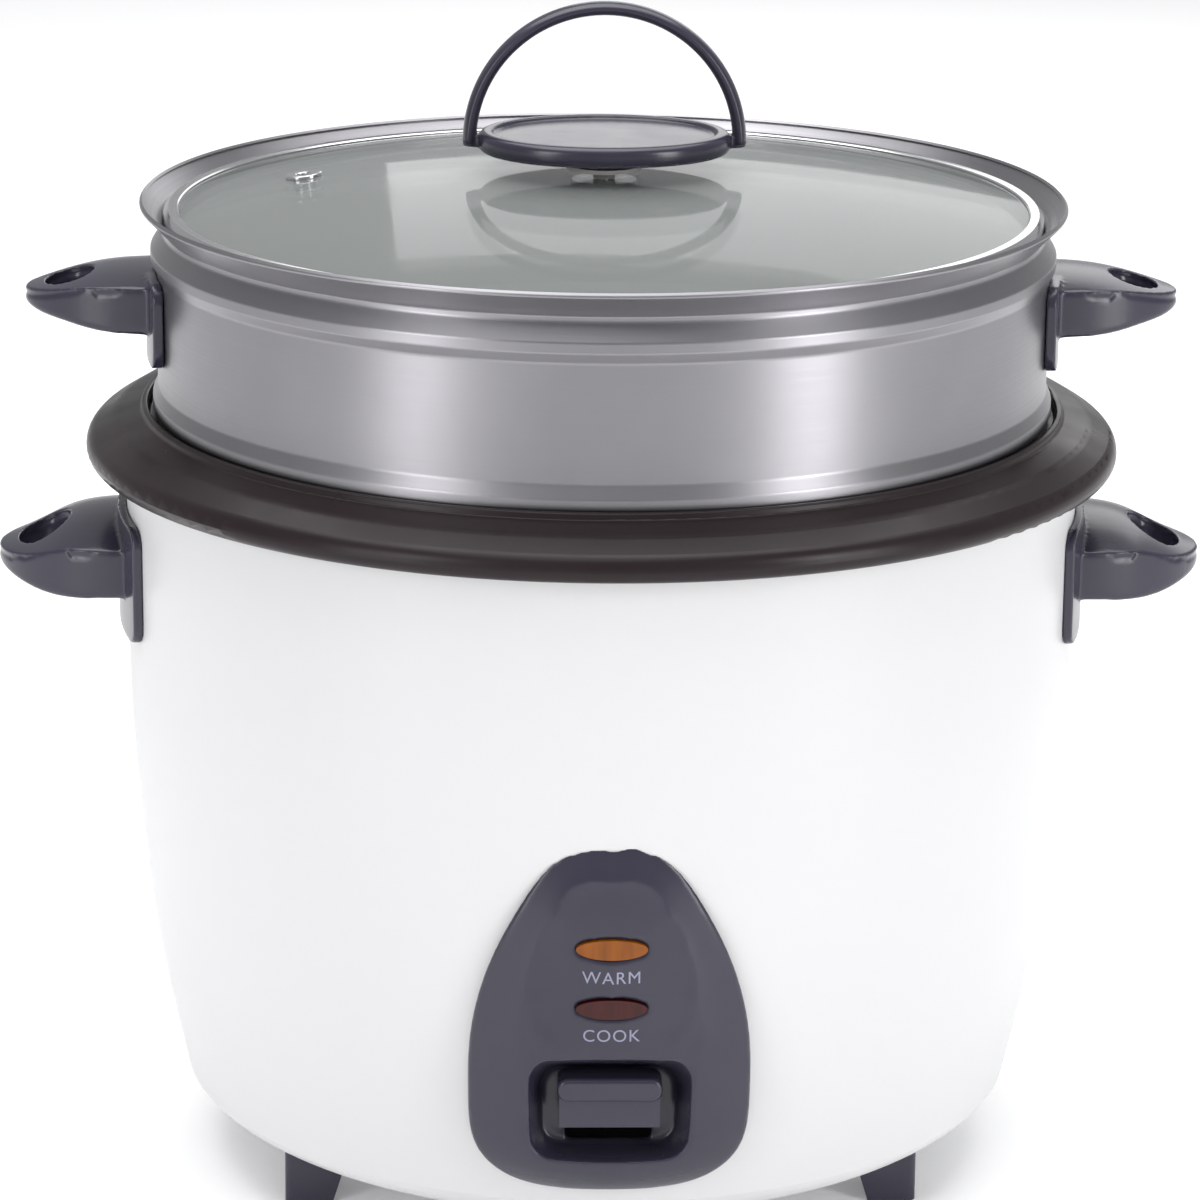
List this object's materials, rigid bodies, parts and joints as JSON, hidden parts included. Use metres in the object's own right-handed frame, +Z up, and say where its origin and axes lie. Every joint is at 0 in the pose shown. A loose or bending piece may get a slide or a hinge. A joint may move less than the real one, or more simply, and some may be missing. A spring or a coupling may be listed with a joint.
{
  "type": "rice cooker",
  "caption": "Electric drum rice cooker with inner pot, steamer basket, domed glass lid with arch knob, side handles and a front panel with a cook lever.",
  "frame": {"origin": "on the ground plane under the feet, at the centre of the drum", "axes": "+Z up, -Y towards the control panel, X through the carrying handles"},
  "size_m": [0.341, 0.29, 0.3306],
  "materials": {
    "white_enamel": "gloss white enamel on steel",
    "ring_brown": "satin dark brown moulding",
    "slate_plastic": "semi-gloss slate moulding",
    "satin_aluminium": "spun, satin",
    "pot_aluminium": "satin outside, dark coating inside",
    "cast_aluminium": "cast, turned top",
    "bright_steel": "polished rolled edge",
    "zinc_steel": "zinc plated",
    "element_steel": "heat-tinted tube",
    "clear_glass": "clear tempered",
    "lens_amber": "tinted clear lens",
    "lens_red": "tinted clear lens",
    "neon_glass": "clear",
    "brass_terminal": "plain",
    "phenolic": "moulded phenolic",
    "ceramic_white": "glazed ceramic",
    "black_plastic": "moulded",
    "soft_ferrite": "sintered",
    "mica_band": "mica and glass cloth",
    "silicone": "clear grey",
    "lead_insulation": "silicone insulation"
  },
  "bodies": {
    "housing": {"outer_shell": "white_enamel", "top_ring": "ring_brown", "heat_shield": "zinc_steel", "base_cover": "zinc_steel", "base_screws": "zinc_steel", "foot_screws": "zinc_steel", "handle_right": "slate_plastic", "handle_left": "slate_plastic", "handle_screws": "zinc_steel", "front_panel": "slate_plastic", "lens_warm": "lens_amber", "lens_cook": "lens_red", "lamp_carrier": "black_plastic", "neon_lamp_warm": "neon_glass", "neon_lamp_cook": "neon_glass", "lever_bracket": "zinc_steel", "pivot_pin": "bright_steel", "thermostat_tube": "zinc_steel", "sensor_spring": "bright_steel", "contact_block": "phenolic", "contact_tabs": "brass_terminal", "heating_plate": "cast_aluminium", "heating_element": "element_steel", "plate_studs": "zinc_steel", "plate_nuts": "zinc_steel", "warm_heater_band": "mica_band", "band_buckle": "zinc_steel", "thermal_fuse": "ceramic_white", "fuse_clip": "zinc_steel", "terminal_block": "ceramic_white", "terminal_screws": "brass_terminal", "inlet_socket": "black_plastic", "inlet_pins": "brass_terminal", "internal_leads": "lead_insulation", "foot_front_left": "slate_plastic", "foot_front_right": "slate_plastic", "foot_rear_left": "slate_plastic", "foot_rear_right": "slate_plastic"},
    "lever": {"lever_arm": "zinc_steel", "cook_key": "slate_plastic"},
    "magnet_slider": {"magnet": "soft_ferrite", "magnet_rod": "zinc_steel"},
    "button": {"switch_button": "black_plastic"},
    "sensor": {"sensor_cap": "cast_aluminium", "sensor_ferrite": "soft_ferrite", "release_spring": "bright_steel"},
    "pot": {"inner_pot": "pot_aluminium"},
    "steamer": {"steamer_basket": "satin_aluminium", "steamer_handle_right": "slate_plastic", "steamer_handle_left": "slate_plastic", "steamer_screws": "bright_steel"},
    "lid": {"lid_glass": "clear_glass", "lid_rim": "bright_steel", "vent_eyelet": "bright_steel", "lid_knob": "slate_plastic", "knob_gasket": "silicone", "knob_washer": "bright_steel", "knob_screw": "bright_steel"}
  },
  "joints": [
    {"name": "pot_lift", "type": "slide", "parent": "housing", "child": "pot", "axis": [0, 0, 1], "range_m": [0, 0.16]},
    {"name": "steamer_lift", "type": "slide", "parent": "pot", "child": "steamer", "axis": [0, 0, 1], "range_m": [0, 0.08]},
    {"name": "lid_lift", "type": "slide", "parent": "steamer", "child": "lid", "axis": [0, 0, 1], "range_m": [0, 0.08]},
    {"name": "cook_lever", "type": "hinge", "parent": "housing", "child": "lever", "pos_m": [0, -0.06, 0.05275], "axis": [1, 0, 0], "range_deg": [0, 6], "stiffness_Nm_per_rad": 0.4, "springref_deg": -8.59},
    {"name": "magnet_rise", "type": "slide", "parent": "housing", "child": "magnet_slider", "axis": [0, 0, 1], "range_m": [0, 0.0063], "deforming": ["release_spring"]},
    {"name": "button_rise", "type": "slide", "parent": "housing", "child": "button", "axis": [0, 0, 1], "range_m": [0, 0.0022]},
    {"name": "sensor_press", "type": "slide", "parent": "housing", "child": "sensor", "axis": [0, 0, 1], "range_m": [-0.002, 0], "stiffness_N_per_m": 300, "springref_m": 0.004, "deforming": ["sensor_spring"]}
  ],
  "couplings": [
    {"joint": "magnet_rise", "follows": "cook_lever", "m_per_rad": 0.06},
    {"joint": "button_rise", "follows": "cook_lever", "m_per_rad": 0.02}
  ]
}
